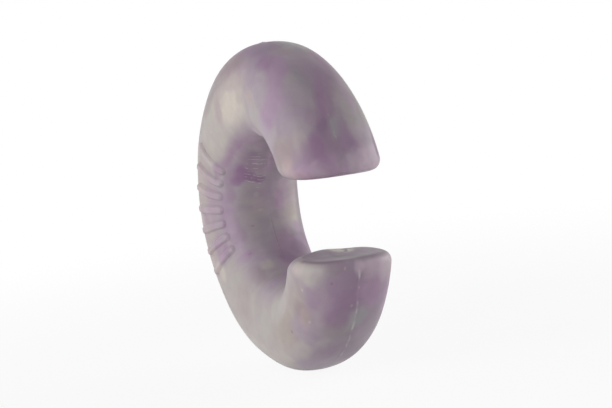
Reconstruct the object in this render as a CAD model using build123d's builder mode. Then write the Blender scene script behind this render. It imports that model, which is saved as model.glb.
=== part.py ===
from build123d import *

import os
from math import asin, cos, pi, sin

# Soft cheek retractor: one thick open ring, moulded in silicone rubber.
# Frame: origin in the middle of the moulding, +X out through the gap, +Y along the ring's
# axis, away from the ribbed flank, +Z up. All sizes are in millimetres and degrees.

# Outline, seen along the ring's axis: a round hole in a round disc
outer_diameter = 58.0
hole_diameter = 25.0
hole_shift = 3.3  # how far the hole sits towards the gap, which leaves the back thick
gap_height = 13.2  # between the two flat end faces

# Width of the ring, along its axis
spine_width = 17.6  # at the back
arch_width = 15.4  # at the top and the bottom
end_width = 16.4  # at the gap

# Roundness of the section: 0.552 is a true ellipse, 1 is a box
fullness = 0.69
end_round = 2.0  # rounding of the edge round each end face
station_count = 21  # sections that the ring is drawn through

# Raised grip ribs, laid like spokes across the spine's flank
rib_count = 7
rib_pitch = 11.0  # degrees from one rib to the next, round the ring's centre
rib_inset = 1.7  # from the middle of the flank in to the middle of a rib, at the spine
rib_length = 9.6
rib_thickness = 1.5
rib_proud = 0.5  # height above the flank

# The gap shortens the ring's front, so its centre stands a little ahead of the origin
outer_radius = outer_diameter / 2
hole_radius = hole_diameter / 2
front_reach = outer_radius * cos(asin((gap_height / 2 + end_round) / outer_radius))
ring_x = (outer_radius - front_reach) / 2
rib_radius = (outer_radius + hole_radius - hole_shift) / 2 - rib_inset


def section_at(turn, grow):
    """Frame and half-sizes of one section; turn runs from 0 at the upper end face to 1
    at the lower one. The first and last sections lie flat, in the planes of the faces."""
    outer_start = asin(gap_height / 2 / outer_radius)
    hole_start = asin(gap_height / 2 / hole_radius)
    outer_angle = outer_start + turn * 2 * (pi - outer_start)
    hole_angle = hole_start + turn * 2 * (pi - hole_start)
    outer = Vector(ring_x + outer_radius * cos(outer_angle), 0, outer_radius * sin(outer_angle))
    inner = Vector(
        ring_x + hole_shift + hole_radius * cos(hole_angle),
        0,
        hole_radius * sin(hole_angle),
    )
    outward = outer - inner
    plane = Plane(
        origin=(outer + inner) / 2,
        x_dir=outward,
        z_dir=outward.cross(Vector(0, 1, 0)),
    )
    widest = end_width if cos(outer_angle) > 0 else spine_width
    width = arch_width + (widest - arch_width) * cos(outer_angle) ** 2
    return plane, outward.length / 2 + grow, width / 2 + grow


def half_section(half_length, half_breadth):
    """The ribbed side of the rounded section: a quadrant from each tip to the flank, and
    the line between the tips, on the ring's mid-plane."""
    flank = (0, -half_breadth)
    for side in (1, -1):
        Bezier(
            (side * half_length, 0),
            (side * half_length, -fullness * half_breadth),
            (side * fullness * half_length, -half_breadth),
            flank,
        )
    Line((-half_length, 0), (half_length, 0))


def half_ring(grow):
    """The ring's ribbed half, up to its mid-plane, as one smooth loft. It is grown by an
    even skin for the ribs' outer faces."""
    with BuildPart() as half:
        for index in range(station_count):
            plane, half_length, half_breadth = section_at(
                index / (station_count - 1), grow
            )
            with BuildSketch(plane):
                with BuildLine():
                    half_section(half_length, half_breadth)
                make_face()
        loft()
    return half.part


# The moulding: a half with its end faces rounded over, and its mirror image
with BuildPart() as retractor_body:
    add(half_ring(0))
    end_faces = faces().filter_by(Axis.Z)
    rims = end_faces.edges().filter_by_position(Axis.Y, -end_width, -end_round)
    fillet(rims, radius=end_round)
    mirror(about=Plane.XZ)
retractor_body.part.label = "retractor_body"

# Grip ribs: round-ended bars cut from a skin that lies on the flank
with BuildPart() as grip_ribs:
    with BuildSketch(Plane(origin=(ring_x, 0, 0), x_dir=(1, 0, 0), z_dir=(0, -1, 0))):
        with PolarLocations(
            rib_radius,
            rib_count,
            start_angle=180 - rib_pitch * (rib_count - 1) / 2,
            angular_range=rib_pitch * rib_count,
        ):
            SlotOverall(rib_length, rib_thickness)
    extrude(amount=spine_width)
    add(half_ring(rib_proud), mode=Mode.INTERSECT)
    add(retractor_body.part, mode=Mode.SUBTRACT)
grip_ribs.part.label = "grip_ribs"

os.makedirs("parts", exist_ok=True)
export_step(retractor_body.part, "parts/retractor_body.step")
export_step(grip_ribs.part, "parts/grip_ribs.step")
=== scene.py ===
from math import cos, radians, sin

import bpy
import numpy as np
from mathutils import Matrix, Vector, noise


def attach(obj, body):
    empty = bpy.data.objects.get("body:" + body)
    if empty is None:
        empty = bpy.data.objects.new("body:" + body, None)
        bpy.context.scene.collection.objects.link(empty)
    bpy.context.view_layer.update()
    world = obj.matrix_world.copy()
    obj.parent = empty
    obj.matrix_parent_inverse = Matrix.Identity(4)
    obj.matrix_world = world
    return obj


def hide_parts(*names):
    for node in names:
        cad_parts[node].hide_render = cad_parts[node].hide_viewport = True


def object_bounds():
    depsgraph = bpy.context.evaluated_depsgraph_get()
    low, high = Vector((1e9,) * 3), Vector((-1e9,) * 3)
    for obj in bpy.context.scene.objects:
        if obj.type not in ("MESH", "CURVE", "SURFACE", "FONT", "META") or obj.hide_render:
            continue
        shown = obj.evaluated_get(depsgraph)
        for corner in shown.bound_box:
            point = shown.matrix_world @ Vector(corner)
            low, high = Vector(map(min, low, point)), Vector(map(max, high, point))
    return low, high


# Soft cheek retractor: one thick open ring of marbled silicone rubber.
# Frame: origin in the middle of the moulding, +X out through the gap, +Y along the ring's
# axis, away from the ribbed flank, +Z up. The ring's sizes are in millimetres and meshes
# are scaled to metres as they are made.
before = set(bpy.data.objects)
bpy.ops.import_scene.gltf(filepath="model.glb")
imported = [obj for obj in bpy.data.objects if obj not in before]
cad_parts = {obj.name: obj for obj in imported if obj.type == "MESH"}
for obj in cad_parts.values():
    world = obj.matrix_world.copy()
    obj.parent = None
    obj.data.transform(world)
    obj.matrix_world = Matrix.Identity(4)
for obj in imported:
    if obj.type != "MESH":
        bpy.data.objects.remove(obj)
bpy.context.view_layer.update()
MM = 0.001
UV_DEGREES = 100  # degrees in one unit of the ring's UV map

# ---------------------------------------------------------------- sizes, as in the CAD
OUTER_RADIUS = 29.0
HOLE_RADIUS = 12.5
HOLE_SHIFT = 3.3
GAP_HEIGHT = 13.2
SPINE_WIDTH = 17.6
ARCH_WIDTH = 15.4
END_WIDTH = 16.4
FULLNESS = 0.69
END_FULLNESS = 0.82  # the soft lower end bulges a little towards the hole
END_ROUND = 2.0
RIB_COUNT = 7
RIB_PITCH = 11.0
RIB_RADIUS = 17.4
RIB_LENGTH = 9.6
RIB_THICKNESS = 1.5
RIB_PROUD = 0.5

FRONT_REACH = float(np.sqrt(OUTER_RADIUS**2 - (GAP_HEIGHT / 2 + END_ROUND) ** 2))
RING_X = (OUTER_RADIUS - FRONT_REACH) / 2

# ---------------------------------------------------------------- camera
CAMERA_AZIMUTH = -21.7  # degrees, where the camera stands from +X
CAMERA_ELEVATION = 6.07
CAMERA_ROLL = 6.95
CAMERA_DISTANCE = 0.2432  # metres, from the ring's centre
CAMERA_LENS = 81.0
SENSOR = 36.0
AIM_RIGHT = 0.00334  # the ring sits a little left of the picture's middle and below it
AIM_UP = 0.00064


def make_camera():
    azimuth, elevation, roll = map(radians, (CAMERA_AZIMUTH, CAMERA_ELEVATION, CAMERA_ROLL))
    back = Vector(
        (cos(azimuth) * cos(elevation), sin(azimuth) * cos(elevation), sin(elevation))
    )
    level = Vector((-sin(azimuth), cos(azimuth), 0))
    upright = back.cross(level)
    right = level * cos(roll) - upright * sin(roll)
    up = level * sin(roll) + upright * cos(roll)
    ring_centre = Vector((RING_X * MM, 0, 0))
    place = ring_centre + back * CAMERA_DISTANCE
    aim = ring_centre + right * AIM_RIGHT + up * AIM_UP
    back = (place - aim).normalized()
    right = up.cross(back).normalized()
    up = back.cross(right)
    data = bpy.data.cameras.new("camera")
    data.lens = CAMERA_LENS
    data.sensor_width = SENSOR
    camera = bpy.data.objects.new("camera", data)
    camera.matrix_world = Matrix.Translation(place) @ Matrix(
        (right, up, back)
    ).transposed().to_4x4()
    bpy.context.scene.collection.objects.link(camera)
    bpy.context.scene.camera = camera


# ---------------------------------------------------------------- the ring's shape
def eased(share):
    """A share from 0 to 1, with a soft start and finish."""
    return share**2 * (3 - 2 * share)


def ring_frames(turn):
    """Section frames for turns from 0, at the upper end face, to 1, at the lower one:
    centre and outward direction in the XZ plane, half-length and half-breadth."""
    outer_start = np.arcsin(GAP_HEIGHT / 2 / OUTER_RADIUS)
    inner_start = np.arcsin(GAP_HEIGHT / 2 / HOLE_RADIUS)
    outer_angle = outer_start + turn * 2 * (np.pi - outer_start)
    inner_angle = inner_start + turn * 2 * (np.pi - inner_start)
    outer = np.stack(
        [
            RING_X + OUTER_RADIUS * np.cos(outer_angle),
            OUTER_RADIUS * np.sin(outer_angle),
        ],
        axis=-1,
    )
    inner = np.stack(
        [
            RING_X + HOLE_SHIFT + HOLE_RADIUS * np.cos(inner_angle),
            HOLE_RADIUS * np.sin(inner_angle),
        ],
        axis=-1,
    )
    span = outer - inner
    length = np.linalg.norm(span, axis=-1)
    widest = np.where(np.cos(outer_angle) > 0, END_WIDTH, SPINE_WIDTH)
    width = ARCH_WIDTH + (widest - ARCH_WIDTH) * np.cos(outer_angle) ** 2
    return (outer + inner) / 2, span / length[..., None], length / 2, width / 2


def quadrant(t, fullness=FULLNESS):
    """One quadrant of the unit section, from its tip (1, 0) to its flank (0, 1)."""
    along = (1 - t) ** 3 + 3 * (1 - t) ** 2 * t + 3 * (1 - t) * t**2 * fullness
    across = 3 * (1 - t) ** 2 * t * fullness + 3 * (1 - t) * t**2 + t**3
    return along, across


def ring_coordinates(x, y, z):
    """Where a point lies on the ring, in degrees: round the ring from the spine, positive
    towards the upper end, and round the section from its outer tip by way of the ribbed
    flank."""
    x = x - RING_X
    radius = np.hypot(x, z)
    ahead, aside = HOLE_SHIFT * x / radius, HOLE_SHIFT * z / radius
    wall = ahead + np.sqrt(HOLE_RADIUS**2 - aside**2)
    around_ring = np.degrees(np.arctan2(z, -x))
    around_section = np.degrees(np.arctan2(-y, radius - (OUTER_RADIUS + wall) / 2))
    return around_ring, around_section


def end_turn(height):
    """The turn at which the section's centre stands this far above the upper end face."""
    low, high = 0.0, 0.2
    for _ in range(40):
        middle = (low + high) / 2
        centre = ring_frames(np.array(middle))[0]
        if centre[1] - GAP_HEIGHT / 2 < height:
            low = middle
        else:
            high = middle
    return low


# ---------------------------------------------------------------- meshes
def new_piece(name, points, faces, material, uvs):
    """A smooth mesh piece on the root body, from points in millimetres. uvs holds one pair
    for each face corner."""
    mesh = bpy.data.meshes.new(name)
    mesh.from_pydata((np.asarray(points) * MM).tolist(), [], faces)
    mesh.polygons.foreach_set("use_smooth", [True] * len(mesh.polygons))
    layer = mesh.uv_layers.new(name="ring")
    layer.data.foreach_set("uv", np.array(uvs).ravel())
    mesh.update()
    piece = bpy.data.objects.new(name, mesh)
    bpy.context.scene.collection.objects.link(piece)
    mesh.materials.append(material)
    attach(piece, "root")
    return piece


def section_samples(fullness):
    """Section points, from the plain flank round by the outer tip and back, closest
    together at the two tips, where the parting line's flash stands."""
    fine = list(np.arange(0, 0.056, 0.0045))
    steps = np.array(fine + [0.065, 0.08, 0.1, 0.125] + list(np.linspace(0.155, 1, 28)))
    along, across = quadrant(steps, fullness)
    u = np.concatenate([along[::-1], along[1:], -along[::-1][1:], -along[1:]])
    v = np.concatenate([across[::-1], -across[1:], -across[::-1][1:], across[1:]])
    return u[:-1], v[:-1]


def station_turns():
    """Turns of the body's stations: close together where the end faces' edges round over,
    then evenly spaced."""
    rounding = [end_turn(END_ROUND * (1 - cos(radians(a)))) for a in range(0, 100, 9)]
    even = np.linspace(rounding[-1], 0.5, 165)[1:]
    half = np.array(rounding + list(even))
    return np.concatenate([half, 1 - half[::-1][1:]])


def wander(points, size, offset):
    """Smooth noise, about -1 to 1, at points in millimetres, with features of this size."""
    return np.array(
        [noise.noise(Vector(p) / size + Vector((offset, 0, 0))) for p in points]
    )


FLASH_HEIGHT = 0.15
FLASH_HALF_WIDTH = 0.18
FLASH_PATH = 400  # length of the way round the ring, as the flash's noise takes it
# The flash's sway off the mid-plane, and its breaks: how strong, over what length, which noise
FLASH_SWAY = ((0.20, 8.0, 0), (0.22, 2.4, 5))
FLASH_BREAKS = ((1.1, 4.0, 9), (1.0, 1.4, 2))
FLASH_USUAL = 0.45  # its share of the full height before the breaks
# Where the parting line's flash stands out: degrees round the ring, half-length, share of
# the full height
OUTER_FLASH = ((-140, 24, 1.0), (-165, 8, 0.8), (92, 12, 0.9), (148, 8, 0.5), (0, 60, 0.5))
HOLE_FLASH = ((-20, 30, 0.35), (52, 16, 0.9))
FLASH_ELSEWHERE = 0.12
UPPER_SWAY = -0.7  # the line runs off the middle of the upper end by this much
UPPER_SWAY_START = 50  # degrees round the ring
UPPER_SWAY_LENGTH = 40
SWELL = 0.10  # how far the soft surface waves in and out
SWELL_SIZE = 9.0
BULGE_START = -115  # degrees round the ring, where the lower end grows fuller
BULGE_LENGTH = 45
NEAR_END = 0.15  # the first and last share of the turn, where the end faces' edges are

# Small swellings of the moulding: place, how far and which way it is pushed out, radius
BUMPS = (
    ((17.4, -1.0, -6.6), (-0.10, 0.0, 0.55), 3.2),  # lip of the lower end face
    ((7.0, -5.9, 14.3), (-0.30, 0.20, -0.50), 0.9),  # nub on the rim of the hollow
    ((4.2, -6.6, 15.2), (-0.15, 0.10, -0.25), 1.6),
    ((4.0, 0.0, 28.5), (0.0, 0.0, 0.30), 9.0),  # top of the ring
    ((-2.0, -4.0, -28.0), (0.08, 0.20, 0.35), 8.0),  # its lower back, a little flatter
    ((-6.0, 7.5, -9.5), (0.15, 0.35, 0.0), 5.0),  # the spine's plain side
)


def bumped(points):
    """Points in millimetres, with the small swellings pushed out."""
    points = np.array(points)
    moved = points.copy()
    for place, push, radius in BUMPS:
        away = np.linalg.norm(points - np.array(place), axis=-1) / radius
        moved += np.exp(-(away**2))[..., None] * np.array(push)
    return moved


def flash_share(theta, stretches):
    """How much of the flash stands at each place round the ring."""
    share = theta * 0 + FLASH_ELSEWHERE
    for middle, half_length, amount in stretches:
        share = share + amount * np.exp(-(((theta - middle) / half_length) ** 4))
    return share


def flash_heights(turns, theta, u, across):
    """How high the parting line's flash stands on each point, outside and in the hole."""
    line = turns * FLASH_PATH
    path = np.stack([line, line * 0, line * 0], axis=-1)
    run_off = UPPER_SWAY * np.clip((theta - UPPER_SWAY_START) / UPPER_SWAY_LENGTH, 0, 1)
    flash = np.zeros(across.shape)
    for side, stretches, offset in ((1, OUTER_FLASH, 11.3), (-1, HOLE_FLASH, 47.9)):
        sway = sum(reach * wander(path, size, offset + n) for reach, size, n in FLASH_SWAY)
        sway = sway + run_off
        breaks = sum(much * wander(path, size, offset + n) for much, size, n in FLASH_BREAKS)
        share = np.clip(FLASH_USUAL + breaks, 0.05, 1.0) * flash_share(theta, stretches)
        away = (across - sway[:, None]) / FLASH_HALF_WIDTH
        height = FLASH_HEIGHT * share[:, None] * np.exp(-(away**2))
        flash += np.where(u[None, :] * side > 0.5, height, 0)
    return flash


def rounded_ends(along, across, over_face):
    """A point that lies low over an end face moves in to the face's rounded edge."""
    low = np.clip(END_ROUND - over_face, 0, END_ROUND)
    inset = END_ROUND - np.sqrt(END_ROUND**2 - low**2)
    keep = 1 - inset / np.hypot(along, across)
    return along * keep, across * keep


def body_points():
    """The body's skin, one row of points for each station, and how high its flash stands."""
    turns = station_turns()
    centre, outward, half_length, half_breadth = ring_frames(turns)
    theta = ring_coordinates(centre[:, 0], 0, centre[:, 1])[0]
    u, v = section_samples(FULLNESS)
    full_u, full_v = section_samples(END_FULLNESS)
    bulge = eased(np.clip((BULGE_START - theta) / BULGE_LENGTH, 0, 1))
    bulge = bulge[:, None] * (u < 0)[None, :]
    along = (u + bulge * (full_u - u)) * half_length[:, None]
    across = (v + bulge * (full_v - v)) * half_breadth[:, None]

    z = centre[:, 1:2] + outward[:, 1:2] * along
    near_end = np.minimum(turns, 1 - turns)[:, None] < NEAR_END
    over_face = np.where(near_end, np.abs(z) - GAP_HEIGHT / 2, END_ROUND)
    along, across = rounded_ends(along, across, over_face)
    clear_of_face = np.clip(over_face / END_ROUND, 0, 1)

    def in_space(outwards, sideways):
        flat = (outward[:, 0:1] * outwards, sideways, outward[:, 1:2] * outwards)
        return np.stack(flat, axis=-1)

    middle = np.stack([centre[:, 0], centre[:, 0] * 0, centre[:, 1]], axis=-1)
    points = middle[:, None, :] + in_space(along, across)
    direction = in_space(along / half_length[:, None] ** 2, across / half_breadth[:, None] ** 2)
    direction /= np.linalg.norm(direction, axis=-1)[..., None]
    swell = SWELL * wander(points.reshape(-1, 3), SWELL_SIZE, 3.7).reshape(along.shape)
    flash = flash_heights(turns, theta, u, across) * clear_of_face
    swell = swell * clear_of_face
    return points + direction * (swell + flash)[..., None], flash


# How far the lower end face's dull colour reaches over its rounded edge as painted shade in
# front, and how much further it reaches behind
END_PAINTED_SHADE = 0.4
END_PAINTED_SHADE_MORE = 0.5
PAINTED_SHADE_STARTS_AT_X = 18.8  # nearer to the spine the edge keeps the marbling
FACE_RINGS = (0.93, 0.8, 0.6, 0.4, 0.2)  # an end face's rings, as shares of its rim


def end_painted_shade_share(points):
    """How far the end face's painted shade covers each point of the skin, 0 to 1."""
    x, y, z = points[..., 0], points[..., 1], points[..., 2]
    reach = END_PAINTED_SHADE + END_PAINTED_SHADE_MORE * np.clip((y + 1.5) / 2.5, 0, 1)
    share = np.clip(1 - (-z - GAP_HEIGHT / 2) / reach, 0, 1)
    return eased(share * (z < 0) * np.clip((x - PAINTED_SHADE_STARTS_AT_X) / 3, 0, 1))


def skin_coordinates(points):
    """The ring's UV map on the skin. It has one more column than the points, because the
    map ends where it began."""
    theta, psi = ring_coordinates(points[..., 0], points[..., 1], points[..., 2])
    nominal = np.linspace(-90, 270, points.shape[1] + 1)[None, :]
    theta = np.concatenate([theta, theta[:, :1]], axis=1)
    psi = np.concatenate([psi, psi[:, :1]], axis=1)
    psi = psi + 360 * np.round((nominal - psi) / 360)
    return theta / UV_DEGREES, psi / UV_DEGREES


def skin_loops(rows, columns):
    """The skin's faces. A corner is a vertex and its row and column in the UV map."""
    loops = []
    for i in range(rows - 1):
        for j in range(columns):
            near = [i * columns + j, i * columns + (j + 1) % columns]
            far = [n + columns for n in near]
            spots = ((i, j), (i, j + 1), (i + 1, j + 1), (i + 1, j))
            loops.append(list(zip(near + far[::-1], spots)))
    return loops


def end_loops(row, columns, first, flip):
    """The faces that fill one end, ring by ring in to its middle, from the vertex first on."""
    loops = []
    outer = range(row * columns, (row + 1) * columns)
    for ring in range(len(FACE_RINGS) + 1):
        is_middle = ring == len(FACE_RINGS)
        inner = [first] * columns if is_middle else range(first, first + columns)
        first += columns
        for j in range(columns):
            k = (j + 1) % columns
            here, beyond = (row, j), (row, j + 1)
            loop = [(outer[j], here), (inner[j], here), (inner[k], beyond), (outer[k], beyond)]
            if is_middle:
                loop.pop(2)
            loops.append(loop[::-1] if flip else loop)
        outer = inner
    return loops


def make_body(material):
    points, flash = body_points()
    rows, columns = points.shape[:2]
    vertices = list(points.reshape(-1, 3))
    loops = skin_loops(rows, columns)
    for row, flip in ((0, False), (rows - 1, True)):
        loops.extend(end_loops(row, columns, len(vertices), flip))
        middle = points[row].mean(axis=0)
        for keep in FACE_RINGS:
            vertices.extend(middle + (points[row] - middle) * keep)
        vertices.append(middle)

    theta, psi = skin_coordinates(points)
    faces = [[vertex for vertex, _ in loop] for loop in loops]
    corners = [(theta[spot], psi[spot]) for loop in loops for _, spot in loop]
    inside = len(vertices) - rows * columns
    amount = np.append(flash.ravel() / FLASH_HEIGHT, np.zeros(inside))
    on_face = np.append(end_painted_shade_share(points).ravel(), np.ones(inside))
    piece = new_piece("ring_body", bumped(vertices), faces, material, corners)
    for name, values in (("flash", amount), ("end_face", on_face)):
        layer = piece.data.attributes.new(name, "FLOAT", "POINT")
        layer.data.foreach_set("value", values.astype(np.float32))
    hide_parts("retractor_body")


# ---------------------------------------------------------------- node helpers
def linear(red, green, blue):
    """A display colour, 0 to 255, as the linear colour that shaders take."""

    def channel(value):
        value /= 255
        return value / 12.92 if value <= 0.04045 else ((value + 0.055) / 1.055) ** 2.4

    return (channel(red), channel(green), channel(blue), 1)


class Graph:
    """Builds a material's or a world's nodes."""

    def __init__(self, owner):
        owner.use_nodes = True
        self.tree = owner.node_tree
        self.tree.nodes.clear()

    def add(self, kind, settings=None, **inputs):
        """A new node. An input is named as in Blender, with _ for a space, or by its number
        after an i."""
        node = self.tree.nodes.new("ShaderNode" + kind)
        for name, value in (settings or {}).items():
            setattr(node, name, value)
        for name, value in inputs.items():
            self.put(node, name.replace("_", " "), value)
        return node

    def put(self, node, name, value):
        index = int(name[1:]) if name[0] == "i" and name[1:].isdigit() else name
        socket = node.inputs[index]
        if isinstance(value, bpy.types.NodeSocket):
            self.tree.links.new(value, socket)
        else:
            socket.default_value = value

    def math(self, operation, a, b=0.0):
        return self.add("Math", {"operation": operation}, i0=a, i1=b).outputs[0]

    def vector(self, operation, a, b):
        return self.add("VectorMath", {"operation": operation}, i0=a, i1=b).outputs[0]

    def scaled(self, vector, factor):
        return self.add("VectorMath", {"operation": "SCALE"}, i0=vector, i3=factor).outputs[0]

    def mix(self, factor, a, b, blend="MIX"):
        kind = {"data_type": "RGBA", "blend_type": blend}
        return self.add("Mix", kind, i0=factor, i6=a, i7=b).outputs[2]

    def mix_shader(self, factor, a, b):
        return self.add("MixShader", Fac=factor, i1=a.outputs[0], i2=b.outputs[0])

    def ramp(self, value, low, high, to_low=0.0, to_high=1.0, smooth=True):
        kind = {"interpolation_type": "SMOOTHSTEP" if smooth else "LINEAR"}
        steps = {"i0": value, "i1": low, "i2": high, "i3": to_low, "i4": to_high}
        return self.add("MapRange", kind, **steps).outputs[0]

    def noise(self, where, scale, detail=2.0, roughness=0.5, distortion=0.0):
        return self.add(
            "TexNoise",
            Vector=where,
            Scale=scale,
            Detail=detail,
            Roughness=roughness,
            Distortion=distortion,
        )

    def blob(self, where, middle, half_sizes, turn=0):
        """1 in the middle of an ellipsoid, falling to 0 at its skin. It is turned about Z,
        in degrees."""
        spot = self.add(
            "Mapping",
            {"vector_type": "TEXTURE"},
            Vector=where,
            Location=middle,
            Rotation=(0, 0, radians(turn)),
            Scale=half_sizes,
        ).outputs[0]
        return self.add("TexGradient", {"gradient_type": "SPHERICAL"}, Vector=spot).outputs[1]


# ---------------------------------------------------------------- marbled rubber
# The rubber's shades, as display colours
CREAM = (197, 188, 178)
STRAW = (184, 178, 169)
STONE = (175, 169, 165)
PEACH = (187, 168, 159)
BEIGE = (172, 158, 157)
BROWN = (163, 151, 144)
UMBER = (140, 122, 128)
ASH = (158, 149, 152)
SLATE = (147, 141, 147)
FROST = (169, 167, 169)
MIST = (171, 157, 169)
HAZE = (160, 146, 158)
LILAC = (162, 137, 160)
ORCHID = (181, 152, 178)
ROSE = (204, 185, 198)
MAUVE = (153, 130, 150)
PLUM = (140, 118, 140)
VIOLET = (146, 111, 146)
BLUSH = (190, 167, 169)
CHERRY = (150, 84, 96)
# SHADE, DUSK and DAMSON are the end faces' dull colours, partly the rubber's own and partly
# painted shade; SHADE is the painted shade on the lower end's front lip, and also draws the
# dark hairline along the hollow's parting line
SHADE = (104, 92, 102)
DUSK = (149, 137, 146)
DAMSON = (138, 118, 134)
PALE_DUST = (222, 212, 196)
DARK_DUST = (104, 70, 84)
MARK_PALE = (205, 198, 200)
FLASH_PALE = (200, 192, 190)

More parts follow.
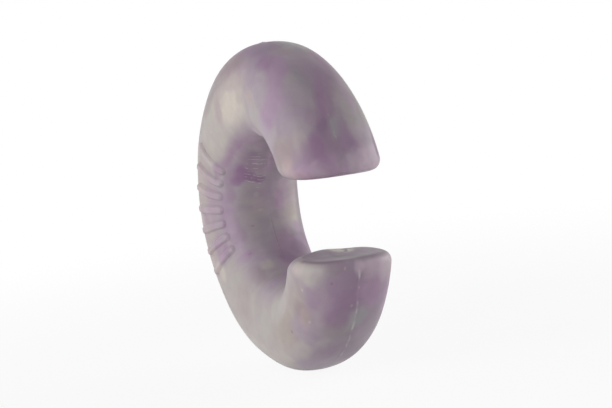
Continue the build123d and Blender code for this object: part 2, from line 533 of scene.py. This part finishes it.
# Patches of colour: round the ring, round the section, their half-sizes, all in degrees,
# the turn of the patch, its colour and how much of it shows. Later ones lie on top. Cycles
# draws the rubber black if patches and specks together come to about 210, so few more fit.
PATCHES = (
    # the hollow, from one end face to the other
    (0, 150, 140, 44, 0, MIST, 0.5),
    (-90, 145, 24, 36, 0, MIST, 0.7),
    (-74, 158, 18, 22, 0, ASH, 0.7),
    (-70, 142, 18, 13, 0, UMBER, 0.45),
    (-64, 158, 8, 12, 0, STRAW, 0.5),
    (-14, 137, 58, 15, 0, LILAC, 0.4),
    (18, 142, 24, 15, 0, FROST, 0.25),
    (12, 182, 24, 12, 0, ORCHID, 0.5),
    (-8, 158, 52, 16, 0, ASH, 0.8),
    (-32, 172, 46, 12, 0, SLATE, 0.6),
    (0, 172, 16, 12, 0, BEIGE, 0.6),
    (-51, 188, 29, 22, 0, MAUVE, 0.9),
    (-61, 186, 11, 13, 0, PLUM, 0.7),
    (-38, 208, 20, 25, 0, LILAC, 0.8),
    (-29, 201, 10, 13, 0, MAUVE, 0.8),
    (-50, 203, 14, 14, 0, PLUM, 0.6),
    (20, 178, 40, 20, 0, MIST, 0.5),
    (-3, 206, 38, 22, 0, STONE, 1.0),
    (-8, 208, 24, 15, 0, CREAM, 0.8),
    (24, 202, 18, 14, 0, ROSE, 0.7),
    (8, 208, 18, 15, 0, ROSE, 0.6),
    (24, 185, 36, 10, 0, MIST, 0.8),
    (78, 166, 32, 26, 0, MIST, 0.8),
    (58, 180, 28, 15, 0, ORCHID, 0.85),
    (5, 194, 18, 9, 0, ORCHID, 0.9),
    (-25, 210, 8, 10, 0, ORCHID, 0.7),
    (-100, 156, 9, 12, 0, MIST, 0.6),
    (-45, 141, 6, 20, 0, LILAC, 0.7),
    (60, 133, 48, 13, 20, MAUVE, 0.75),
    (68, 152, 34, 11, 20, HAZE, 0.5),
    (90, 130, 20, 16, 0, MAUVE, 0.5),
    (70, 140, 32, 14, 10, LILAC, 0.5),
    (112, 138, 12, 14, 0, ROSE, 0.7),
    (53, 167, 18, 15, 0, LILAC, 0.7),
    (50, 157, 24, 15, 10, MAUVE, 0.6),
    (37, 150, 14, 12, 14, VIOLET, 0.8),
    (31, 171, 6, 10, 0, VIOLET, 0.85),
    (30, 139, 16, 9, 10, MAUVE, 0.6),
    (13, 141, 12, 8, 0, MAUVE, 0.6),
    (27, 146, 8, 8, 0, VIOLET, 0.6),
    (54, 131, 30, 7, 10, VIOLET, 0.55),
    (66, 138, 16, 7, 10, VIOLET, 0.5),
    (50, 173, 9, 8, 0, HAZE, 0.6),
    (34, 161, 8, 9, 0, VIOLET, 0.75),
    (20, 193, 18, 12, 0, ROSE, 0.35),
    (58, 170, 16, 10, 0, HAZE, 0.7),
    # painted light: lifts the hollow's upper part, which lies in shade
    (52, 172, 30, 16, 0, ROSE, 0.25),
    (-14, 198, 26, 10, 0, ROSE, 0.3),
    (-13, 142, 16, 8, 0, MAUVE, 0.5),
    (15, 213, 14, 10, 0, CREAM, 0.4),
    (84, 152, 12, 10, 0, ORCHID, 0.35),
    (29, 124, 10, 7, 0, MAUVE, 0.6),
    (-25, 147, 10, 9, 0, MAUVE, 0.6),
    (-27, 137, 9, 8, 0, MAUVE, 0.6),
    (-39, 226, 9, 11, 0, MAUVE, 0.8),
    (34, 191, 11, 12, 0, MIST, 0.75),
    (-4, 134, 24, 8, 0, LILAC, 0.5),
    (50, 132, 16, 10, 0, VIOLET, 0.7),
    (74, 172, 17, 12, 0, MIST, 0.6),
    (75, 164, 10, 12, 0, ROSE, 0.3),
    (3, 200, 10, 10, 0, ROSE, 0.35),
    # the ribbed flank
    (70, 92, 66, 60, 0, STONE, 0.95),
    (-75, 92, 84, 62, 0, STONE, 0.95),
    (50, 98, 24, 42, 0, STRAW, 0.6),
    (84, 97, 28, 36, 0, CREAM, 1.0),
    (92, 70, 22, 18, 0, BEIGE, 0.85),
    (78, 58, 14, 14, 0, BEIGE, 0.8),
    (78, 56, 24, 20, 0, UMBER, 0.5),
    (74, 86, 10, 14, 0, BEIGE, 0.4),
    (66, 92, 7, 30, 4, BEIGE, 0.7),
    (50, 56, 34, 16, 0, ASH, 0.6),
    (86, 46, 23, 19, 0, UMBER, 0.95),
    (-88, 54, 38, 16, 0, STRAW, 0.6),
    (-45, 60, 24, 17, 0, BROWN, 0.5),
    (-66, 102, 15, 36, 6, BEIGE, 0.5),
    (-130, 82, 36, 38, 0, BROWN, 0.75),
    (-125, 85, 13, 17, 0, BROWN, 0.8),
    (-142, 68, 8, 22, 0, UMBER, 0.45),
    (-135, 58, 10, 30, 0, HAZE, 0.8),
    (-128, 113, 38, 22, 0, STONE, 0.8),
    (0, 92, 52, 38, 0, BEIGE, 0.75),
    (-36, 90, 9, 16, 0, CREAM, 0.6),
    # the next two are painted shadow beside the inner ends of the outer grip ribs
    (-32, 121, 8, 9, 0, PLUM, 0.6),
    (31, 121, 8, 8, 0, MAUVE, 0.6),
    (-5, 96, 8, 9, 0, LILAC, 0.5),
    (-28, 112, 13, 19, 0, LILAC, 0.7),
    (4, 112, 28, 14, 0, LILAC, 0.5),
    (-5, 86, 7, 9, 0, VIOLET, 0.4),
    (-13, 76, 6, 7, 0, ORCHID, 0.5),
    (75, 76, 11, 13, 0, BEIGE, 0.5),
    (57, 64, 12, 13, 0, UMBER, 0.3),
    (-27, 77, 9, 9, 0, PEACH, 0.4),
    (91, 72, 10, 13, 0, CREAM, 0.25),
    # the upper end, from the top to the end face
    (104, -10, 16, 24, 0, SLATE, 0.85),
    (110, 7, 8, 16, 0, UMBER, 0.5),
    (112, 42, 6, 12, 0, SLATE, 0.6),
    (108, 12, 9, 14, 0, PLUM, 0.4),
    (109, -26, 5, 17, 20, STRAW, 0.45),
    (97, 22, 17, 31, 0, PLUM, 0.95),
    (107, 42, 8, 34, -12, PLUM, 0.6),
    (115, 80, 14, 50, 0, HAZE, 0.75),
    (99, 92, 8, 14, 0, BEIGE, 0.5),
    (102, 56, 9, 14, 0, MAUVE, 0.3),
    (112, 86, 8, 16, 0, PEACH, 0.4),
    (120, 106, 16, 30, 0, STONE, 0.7),
    (134, -38, 36, 26, 0, ASH, 0.8),
    (127, 4, 15, 32, 0, SLATE, 0.9),
    (137, 38, 14, 34, 0, HAZE, 0.75),
    (139, -20, 8, 14, 0, LILAC, 0.4),
    (124, -10, 17, 34, 0, MAUVE, 0.8),
    (115, 32, 11, 21, 0, VIOLET, 0.75),
    (122, 38, 8, 38, -14, LILAC, 0.9),
    (132, 78, 9, 46, 0, LILAC, 0.9),
    (135, 106, 13, 26, 0, MIST, 0.7),
    (152, 82, 12, 40, 0, BROWN, 0.6),
    (153, 48, 8, 14, 0, STRAW, 0.35),
    (143, 62, 9, 22, 0, HAZE, 0.8),
    (132, -2, 8, 30, -30, MAUVE, 0.5),
    (144, 8, 11, 46, -32, MAUVE, 1.0),
    (158, 34, 9, 28, -8, MAUVE, 0.9),
    (156, 4, 10, 20, 0, MAUVE, 0.9),
    (149, 17, 5, 12, -14, PLUM, 0.9),
    (150, 2, 6, 11, -20, SLATE, 0.7),
    (150, 0, 5, 10, -25, FROST, 0.3),
    (160, 24, 6, 14, 0, MAUVE, 0.6),
    (156, -20, 9, 26, 0, LILAC, 0.8),
    (162, -16, 6, 12, 0, MAUVE, 0.7),
    (144, 24, 5, 16, 0, MAUVE, 0.5),
    (147, -27, 13, 17, 0, MIST, 0.8),
    (146, -28, 15, 16, 0, STONE, 0.6),
    (155, -32, 8, 14, 0, ROSE, 0.35),
    (156, -46, 9, 18, 0, MIST, 0.8),
    (160, 80, 8, 20, 0, BLUSH, 0.5),
    (163, 38, 5, 16, 0, STONE, 0.6),
    (163, 26, 6, 50, 0, ORCHID, 0.5),
    (164, -36, 8, 40, 0, ROSE, 0.8),
    # painted shade: a dark line on the shaded side of the upper end's rim
    (157, -58, 8, 9, 0, MAUVE, 0.8),
    # the next three are painted light on the upper end's lower rounded edge, which faces down,
    # away from the lamps
    (165, 64, 4, 20, 0, BLUSH, 0.4),
    (163, -12, 6, 22, 0, MIST, 0.8),
    (164, -12, 6, 24, 0, ROSE, 0.45),
    (162, 5, 5, 9, 0, HAZE, 0.6),
    (120, -44, 10, 10, 0, MAUVE, 0.6),
    (116, -29, 12, 12, 0, VIOLET, 0.6),
    (137, 3, 5, 22, -42, VIOLET, 0.35),
    (157, 31, 8, 13, 0, VIOLET, 0.4),
    (136, -34, 13, 12, 0, ORCHID, 0.4),
    (150, -6, 7, 9, 0, HAZE, 0.5),
    # painted light on the upper end's lower rounded edge
    (164, -27, 6, 15, 0, ROSE, 1.0),
    (165, 2, 5, 10, 0, ORCHID, 0.5),
    (159, -19, 8, 14, 0, VIOLET, 0.2),
    (100, -16, 9, 9, 0, FROST, 0.5),
    # the lower end
    (-150, 12, 18, 52, 0, LILAC, 0.85),
    (-154, 56, 8, 16, 0, MAUVE, 0.45),
    (-152, 12, 6, 24, 0, VIOLET, 0.35),
    (-145, 24, 7, 24, 0, MAUVE, 0.7),
    (-139, 18, 5, 32, 0, ASH, 0.8),
    (-126, 14, 13, 38, 0, HAZE, 0.9),
    (-127, 12, 6, 24, 0, MAUVE, 0.5),
    (-114, 22, 12, 32, 0, MIST, 0.7),
    (-122, 50, 10, 17, 0, STONE, 0.8),
    (-123, -22, 20, 40, 0, HAZE, 0.9),
    (-141, -24, 14, 28, 0, MIST, 0.9),
    (-154, -24, 10, 34, 0, ORCHID, 0.85),
    (-144, -4, 7, 18, 0, FROST, 0.8),
    (-162, 64, 7, 28, 0, STONE, 0.9),
    # painted shade on the lower end's rounded front edge
    (-164, 30, 5, 18, 0, MAUVE, 0.7),
    (-141, 62, 8, 12, 0, PEACH, 0.3),
    (-152, -44, 20, 14, 0, MIST, 0.9),
    (-163, -34, 7, 46, 0, ROSE, 0.8),
    (-152, -46, 14, 14, 0, ORCHID, 0.5),
    (-162, 90, 7, 22, 0, CREAM, 0.7),
    (-163, 38, 4, 12, 0, ASH, 0.6),
    (-161, -38, 8, 12, 0, ROSE, 0.7),
    (-164, 0, 5, 10, 0, ROSE, 0.6),
    (-161, -47, 8, 14, 0, CREAM, 0.4),
    (-103, 149, 8, 10, 0, STONE, 0.5),
)

# Specks that sit where they are, in the same form
SPECKS = (
    (-159, 37, 0.8, 2.3, 0, CHERRY, 0.4),
    (-164, 21, 0.8, 2.4, 0, STONE, 0.6),
    (-153, 74, 0.8, 2.4, 0, STRAW, 0.6),
    (-141, 56, 0.9, 2.6, 0, STRAW, 0.6),
    (-128, 73, 1.2, 3.4, 0, UMBER, 0.7),
    (-141, 61, 3.0, 6.0, 0, BROWN, 0.7),
    (-150, 8, 0.9, 3.0, 0, STRAW, 0.45),
    (14, 168, 4.0, 4.0, 0, STRAW, 0.4),
    (-4, 171, 1.8, 5.0, 0, STRAW, 0.4),
    (-38, 181.4, 34, 0.9, 0, SHADE, 0.3),
    (-20, 160, 1.4, 3.0, 0, UMBER, 0.5),
    (-46, 148, 1.3, 3.0, 0, VIOLET, 0.5),
    # painted shade: a dark line on the shaded side of the upper end's rim
    (157, -54, 6, 5.0, 0, PLUM, 0.6),
)


PATCH_FADE = 0.62  # share of a patch's radius over which it fades in
SWIRL = (0.07, 0.10, 0.0)  # how far the large swirls carry the patches, in UV units
FEATHER = (0.06, 0.09, 0.0)  # how far the small ones feather their edges
STIR = 0.02  # how far the swirls stir the ground, in metres for one UV unit
DUST = ((260, 0.085, 0.07, PALE_DUST), (210, 0.060, 0.06, DARK_DUST))  # scale, size, share
MARK_COUNT = 22.0  # mould marks in one UV unit round the ring
MARK_WOBBLE = 3.0


def ring_spot(g, where, theta, psi, half_theta, half_psi, turn=0):
    """A blob placed by degrees round the ring and round the section."""
    middle = (theta / UV_DEGREES, psi / UV_DEGREES, 0)
    half_sizes = (half_theta / UV_DEGREES, half_psi / UV_DEGREES, 1)
    return g.blob(where, middle, half_sizes, turn)


def patched(g, where, ground, patches):
    """The patches, each fading out smoothly, laid over the ground colour."""
    colour = ground
    for *place, shade, amount in patches:
        fall = ring_spot(g, where, *place)
        colour = g.mix(g.ramp(fall, 0.0, PATCH_FADE, 0, amount), colour, linear(*shade))
    return colour


def shifted(g, noise_node, reach):
    """A noise's colour as a shift either way, up to half the reach."""
    shift = g.vector("SUBTRACT", noise_node.outputs["Color"], (0.5, 0.5, 0.5))
    return g.vector("MULTIPLY", shift, reach)


def ground_colour(g, place, shift):
    """The main shades, swirled together all round the ring."""
    stirred = g.vector("ADD", place, g.scaled(shift, STIR))
    blend = g.noise(stirred, 36, 2.0, 0.5, 0.7).outputs[0]
    colour = g.mix(g.ramp(blend, 0.36, 0.62), linear(*STONE), linear(*HAZE))
    veins = g.noise(stirred, 58, 2.0, 0.45, 1.1).outputs[0]
    colour = g.mix(g.ramp(veins, 0.52, 0.74, 0, 0.9), colour, linear(*MAUVE))
    return g.mix(g.ramp(veins, 0.46, 0.28, 0, 0.7), colour, linear(*STRAW))


def streaked(g, colour, place, where):
    """The colour with thin streaks along the flow, lilac against straw, and faint mottling."""
    drawn_out = g.vector("MULTIPLY", where, (8.0, 2.6, 1.0))
    streak = g.noise(drawn_out, 1.4, 3.0, 0.55, 0.8).outputs[0]
    share = g.ramp(streak, 0.3, 0.7, smooth=False)
    tint = g.mix(share, (0.97, 0.93, 0.98, 1), (1.04, 1.05, 1.02, 1))
    mottle = g.noise(place, 520, 3.0, 0.6).outputs[0]
    light = g.ramp(mottle, 0.3, 0.7, 0.97, 1.03, smooth=False)
    return g.scaled(g.mix(1.0, colour, tint, "MULTIPLY"), light)


def end_face_colour_and_shade(g, place):
    """The flat end faces: dull grey and purple, partly their own colour and partly painted
    shade, darker in front with painted shade, with pale wisps.
    """
    along = g.vector("MULTIPLY", place, (0.8, 2.0, 1.0))
    cloud = g.noise(along, 120, 2.0, 0.5, 0.6).outputs[0]
    colour = g.mix(g.ramp(cloud, 0.40, 0.70, 0, 0.8), linear(*DUSK), linear(*DAMSON))
    depth = g.add("SeparateXYZ", Vector=place).outputs[1]
    # painted shade: darker towards the front edge
    colour = g.mix(g.ramp(depth, 0.0, -0.0055, 0, 0.65), colour, linear(*DAMSON))
    # painted shade on the front lip of the lower end face
    lip = g.blob(place, (0.0244, -0.0012, -0.0066), (0.0064, 0.0022, 0.004), 49)
    colour = g.mix(g.ramp(lip, 0.0, 0.5, 0, 0.42), colour, linear(*SHADE))
    wisp = g.noise(along, 210, 2.0, 0.5, 1.2).outputs[0]
    field = g.blob(place, (0.0165, 0.0016, -0.0066), (0.0055, 0.0032, 0.004))
    share = g.math("MULTIPLY", g.ramp(wisp, 0.38, 0.58), g.ramp(field, 0.0, 0.45, 0.05, 1.0))
    return g.mix(share, colour, linear(*CREAM))


def dusted(g, colour, place):
    """The colour with specks of undispersed pigment and trapped dust."""
    for scale, size, share, shade in DUST:
        cells = g.add("TexVoronoi", Vector=place, Scale=scale, Randomness=1.0)
        chosen = g.add("SeparateColor", Color=cells.outputs["Color"]).outputs[0]
        chosen = g.math("LESS_THAN", chosen, share)
        dot = g.ramp(cells.outputs["Distance"], size, size * 0.3, 0, 0.35)
        colour = g.mix(g.math("MULTIPLY", dot, chosen), colour, linear(*shade))
    return colour


def mould_marks(g, ring):
    """Fine scraped lines in the hollow of the spine: 1 on a line, 0 elsewhere."""
    across = g.add("SeparateXYZ", Vector=ring).outputs[0]
    wobble = g.noise(ring, 5, 1.0, 0.5).outputs[0]
    count = g.math("MULTIPLY", across, MARK_COUNT)
    count = g.math("ADD", count, g.math("MULTIPLY", wobble, MARK_WOBBLE))
    ridge = g.math("ABSOLUTE", g.math("SUBTRACT", g.math("FRACT", count), 0.5))
    line = g.ramp(ridge, 0.14, 0.04)
    broken = g.ramp(g.noise(ring, 13, 2.0, 0.6).outputs[0], 0.44, 0.56)
    field = ring_spot(g, ring, 43, 167, 26, 14)
    return g.math("MULTIPLY", g.math("MULTIPLY", line, broken), g.ramp(field, 0.0, 0.3))


def marbled(name, paler=0.0):
    """Swirled silicone rubber: broad patches in ring coordinates, drawn out by noise, with
    finer streaks, specks and a satin skin over them."""
    material = bpy.data.materials.new(name)
    g = Graph(material)
    place = g.add("TexCoord").outputs["Object"]
    ring = g.add("UVMap", {"uv_map": "ring"}).outputs[0]
    shift = shifted(g, g.noise(place, 75, 1.5, 0.5, 0.4), SWIRL)
    feather = shifted(g, g.noise(place, 260, 2.5, 0.55, 0.6), FEATHER)
    where = g.vector("ADD", ring, g.vector("ADD", shift, feather))

    colour = patched(g, where, ground_colour(g, place, shift), PATCHES)
    colour = patched(g, ring, colour, SPECKS)
    colour = g.mix(paler, colour, linear(*ROSE))
    colour = streaked(g, colour, place, where)
    # the end faces' colour, partly painted shade, also spills over the lower end's rounded edge
    # as painted shade
    face = g.add("Attribute", {"attribute_name": "end_face"}).outputs["Fac"]
    colour = g.mix(face, colour, end_face_colour_and_shade(g, place))
    colour = dusted(g, colour, place)

    # the mould's marks and the thin flash look pale
    marks = mould_marks(g, ring)
    colour = g.mix(g.math("MULTIPLY", marks, 0.8), colour, linear(*MARK_PALE))
    edge = g.add("Attribute", {"attribute_name": "flash"}).outputs["Fac"]
    colour = g.mix(g.ramp(edge, 0.15, 0.9, 0, 0.5), colour, linear(*FLASH_PALE))

    # a fine grain and the marks stand up from the satin skin
    grain = g.noise(place, 2600, 2.0, 0.5).outputs[0]
    wave = g.noise(place, 420, 2.0, 0.5).outputs[0]
    relief = g.math("ADD", g.math("MULTIPLY", grain, 0.3), wave)
    relief = g.math("ADD", relief, g.math("MULTIPLY", marks, 0.4))
    bump = g.add("Bump", Strength=0.10, Distance=0.00025, Height=relief).outputs[0]
    rough = g.ramp(g.noise(place, 180, 2.0, 0.5).outputs[0], 0.3, 0.7, 0.42, 0.54)
    surface = g.add(
        "BsdfPrincipled",
        Base_Color=colour,
        Roughness=rough,
        IOR=1.41,
        Normal=bump,
        Subsurface_Weight=0.35,
        Subsurface_Radius=(1.0, 0.8, 0.9),
        Subsurface_Scale=0.0016,
        Specular_IOR_Level=0.5,
    )
    g.add("OutputMaterial", Surface=surface.outputs[0])
    return material


# ---------------------------------------------------------------- grip ribs
RIB_SINK = 0.35  # how deep a rib's underside lies in the flank
RIB_FOOT = 0.25  # how far its soft foot spreads on the flank
RIB_EDGE_SINK = 0.03  # how deep the foot's edge lies, so that it meets the flank cleanly
RIB_SHOULDER = 0.62  # where, from foot to middle line, a rib reaches its full height
RIB_ALONG = 49  # points along a rib and across it
RIB_ACROSS = 19


def flank_height(x, z):
    """How far the ribbed flank stands out from the ring's mid-plane over a point."""
    low, high = 0.25, 0.75
    for _ in range(36):
        turn = (low + high) / 2
        centre, outward, half_length, half_breadth = ring_frames(np.array(turn))
        off = (x - centre[0]) * outward[1] - (z - centre[1]) * outward[0]
        if off > 0:
            high = turn
        else:
            low = turn
    along = ((x - centre[0]) * outward[0] + (z - centre[1]) * outward[1]) / half_length
    near, far = 0.0, 1.0
    for _ in range(30):
        t = (near + far) / 2
        if quadrant(t)[0] > abs(along):
            near = t
        else:
            far = t
    return float(quadrant(t)[1] * half_breadth)


def rib_rise(edge):
    """Height of a rib's skin; edge runs from 0 at its foot to 1 on its middle line."""
    return RIB_PROUD * eased(min(max(edge, 0) / RIB_SHOULDER, 1)) - RIB_EDGE_SINK


def rib_skins(angle):
    """A rib's top and underside, row by row: a spoke at this angle with rounded ends."""
    half_length, half_width = RIB_LENGTH / 2 + RIB_FOOT, RIB_THICKNESS / 2 + RIB_FOOT
    straight = half_length - half_width
    spoke = np.array([cos(angle), sin(angle)])
    side = np.array([-sin(angle), cos(angle)])
    top, under = [], []
    for along in half_length * np.sin(np.linspace(-np.pi / 2, np.pi / 2, RIB_ALONG)):
        over = max(abs(along) - straight, 0)
        width = half_width * np.sqrt(max(1 - (over / half_width) ** 2, 0.0004))
        for across in width * np.linspace(-1, 1, RIB_ACROSS):
            spot = spoke * (RIB_RADIUS + along) + side * across
            x, z = RING_X + spot[0], spot[1]
            flank = flank_height(x, z)
            edge = 1 - np.hypot(over, across) / half_width
            top.append((x, -(flank + rib_rise(edge)), z))
            under.append((x, -(flank - RIB_SINK), z))
    return top + under


def rib_faces():
    """The faces of one rib: its top and underside and the wall between them."""
    faces = []
    size = RIB_ALONG * RIB_ACROSS
    for i in range(RIB_ALONG - 1):
        for j in range(RIB_ACROSS - 1):
            a = i * RIB_ACROSS + j
            b = a + RIB_ACROSS
            faces.append((a, a + 1, b + 1, b))
            faces.append((size + a, size + b, size + b + 1, size + a + 1))
    border = (
        list(range(RIB_ACROSS))
        + [i * RIB_ACROSS + RIB_ACROSS - 1 for i in range(1, RIB_ALONG)]
        + [(RIB_ALONG - 1) * RIB_ACROSS + j for j in range(RIB_ACROSS - 2, -1, -1)]
        + [i * RIB_ACROSS for i in range(RIB_ALONG - 2, 0, -1)]
    )
    for a, b in zip(border, border[1:] + border[:1]):
        faces.append((a, size + a, size + b, b))
    return faces


def make_ribs(material):
    points, faces = [], []
    for rib in range(RIB_COUNT):
        angle = radians(180 + RIB_PITCH * (rib - (RIB_COUNT - 1) / 2))
        faces.extend(tuple(len(points) + n for n in loop) for loop in rib_faces())
        points.extend(rib_skins(angle))
    points = np.array(points)
    theta, psi = ring_coordinates(points[:, 0], points[:, 1], points[:, 2])
    corners = [(theta[n] / UV_DEGREES, psi[n] / UV_DEGREES) for loop in faces for n in loop]
    piece = new_piece("grip_rib_set", points, faces, material, corners)
    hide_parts("grip_ribs")


# ---------------------------------------------------------------- light and floor
def seen_ray(g):
    """1 for the rays that show the background itself, straight or mirrored."""
    path = g.add("LightPath").outputs
    glossy = g.math("MAXIMUM", path["Is Glossy Ray"], path["Is Transmission Ray"])
    return g.math("MAXIMUM", path["Is Camera Ray"], glossy)


# The light tent: white all round, with a soft panel each side, dimmer over the top and on
# the photographer's side
TENT_LIGHT = 0.70
LEFT_LIGHT = 1.04  # what the panels add
RIGHT_LIGHT = 0.89
OVERHEAD_SHARE = 0.12  # what is left of the light straight above and on the open side
OPEN_SHARE = 0.62
LEFT_PANEL = (0.12, -0.99, 0.05)
RIGHT_PANEL = (-0.30, 0.95, 0.05)
OPEN_SIDE = (0.93, -0.37, 0.0)
PANEL_EDGE = 0.35  # the cosine to a panel's middle at which its light starts
OPEN_EDGE = 0.2


def make_world():
    world = bpy.data.worlds.new("tent")
    bpy.context.scene.world = world
    g = Graph(world)
    ray = g.add("TexCoord").outputs["Generated"]

    def towards(direction, *steps):
        dot = g.add("VectorMath", {"operation": "DOT_PRODUCT"}, i0=ray, i1=direction)
        return g.ramp(dot.outputs["Value"], *steps)

    light = g.math("ADD", TENT_LIGHT, towards(LEFT_PANEL, PANEL_EDGE, 1.0, 0, LEFT_LIGHT))
    light = g.math("ADD", light, towards(RIGHT_PANEL, PANEL_EDGE, 1.0, 0, RIGHT_LIGHT))
    light = g.math("MULTIPLY", light, towards((0, 0, 1), 0.0, 1.0, 1.0, OVERHEAD_SHARE))
    light = g.math("MULTIPLY", light, towards(OPEN_SIDE, OPEN_EDGE, 1.0, 1.0, OPEN_SHARE))
    dim = g.add("Background", Color=(0.98, 0.98, 1.0, 1), Strength=light)
    white = g.add("Background", Color=(1, 1, 1, 1), Strength=1.0)
    both = g.mix_shader(seen_ray(g), dim, white)
    g.add("OutputWorld", Surface=both.outputs[0])


def make_lamp(name, place, size, power):
    """A soft round lamp that shines at the origin and isn't seen itself."""
    data = bpy.data.lights.new(name, "AREA")
    data.shape = "DISK"
    data.size = size
    data.energy = power
    lamp = bpy.data.objects.new(name, data)
    lamp.location = place
    lamp.rotation_mode = "QUATERNION"
    lamp.rotation_quaternion = Vector(place).to_track_quat("Z", "Y")
    lamp.visible_camera = False
    bpy.context.scene.collection.objects.link(lamp)


FLOOR_RADIUS = 3.0
FLOOR_OWN_WHITE = 0.90  # share of the floor's look that doesn't depend on the lamps
FADE_START = 0.05  # metres from the middle, where the floor starts to fade to plain white
FADE_END = 0.22


def make_floor():
    """A pale round floor under the ring, lit near it and plain white further off."""
    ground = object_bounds()[0].z
    corners = [
        (FLOOR_RADIUS * cos(radians(a)), FLOOR_RADIUS * sin(radians(a)), ground)
        for a in range(0, 360, 5)
    ]
    mesh = bpy.data.meshes.new("floor")
    mesh.from_pydata(corners, [], [tuple(range(len(corners)))])
    floor = bpy.data.objects.new("floor", mesh)
    bpy.context.scene.collection.objects.link(floor)
    material = bpy.data.materials.new("floor")
    g = Graph(material)
    plain = g.add("BsdfDiffuse", Color=(0.92, 0.92, 0.92, 1))
    white = g.add("Emission", Color=(1, 1, 1, 1), Strength=1.0)
    spot = g.add("SeparateXYZ", Vector=g.add("TexCoord").outputs["Object"]).outputs
    level = g.add("CombineXYZ", X=spot[0], Y=spot[1]).outputs[0]
    from_middle = g.add("VectorMath", {"operation": "LENGTH"}, i0=level).outputs["Value"]
    own = g.ramp(from_middle, FADE_START, FADE_END, FLOOR_OWN_WHITE, 1.0)
    lit = g.add("BsdfDiffuse", Color=(1, 1, 1, 1))
    shown = g.mix_shader(own, lit, white)
    both = g.mix_shader(seen_ray(g), plain, shown)
    g.add("OutputMaterial", Surface=both.outputs[0])
    mesh.materials.append(material)


# ---------------------------------------------------------------- the scene
make_camera()
make_world()
make_lamp("left_box", (0.15, -0.85, 0.22), 0.48, 3.2)
make_lamp("right_box", (0.05, 0.90, 0.22), 0.48, 2.5)
make_body(marbled("marbled_rubber"))
make_ribs(marbled("rib_rubber", paler=0.12))
make_floor()

bpy.context.scene.view_settings.view_transform = "Standard"
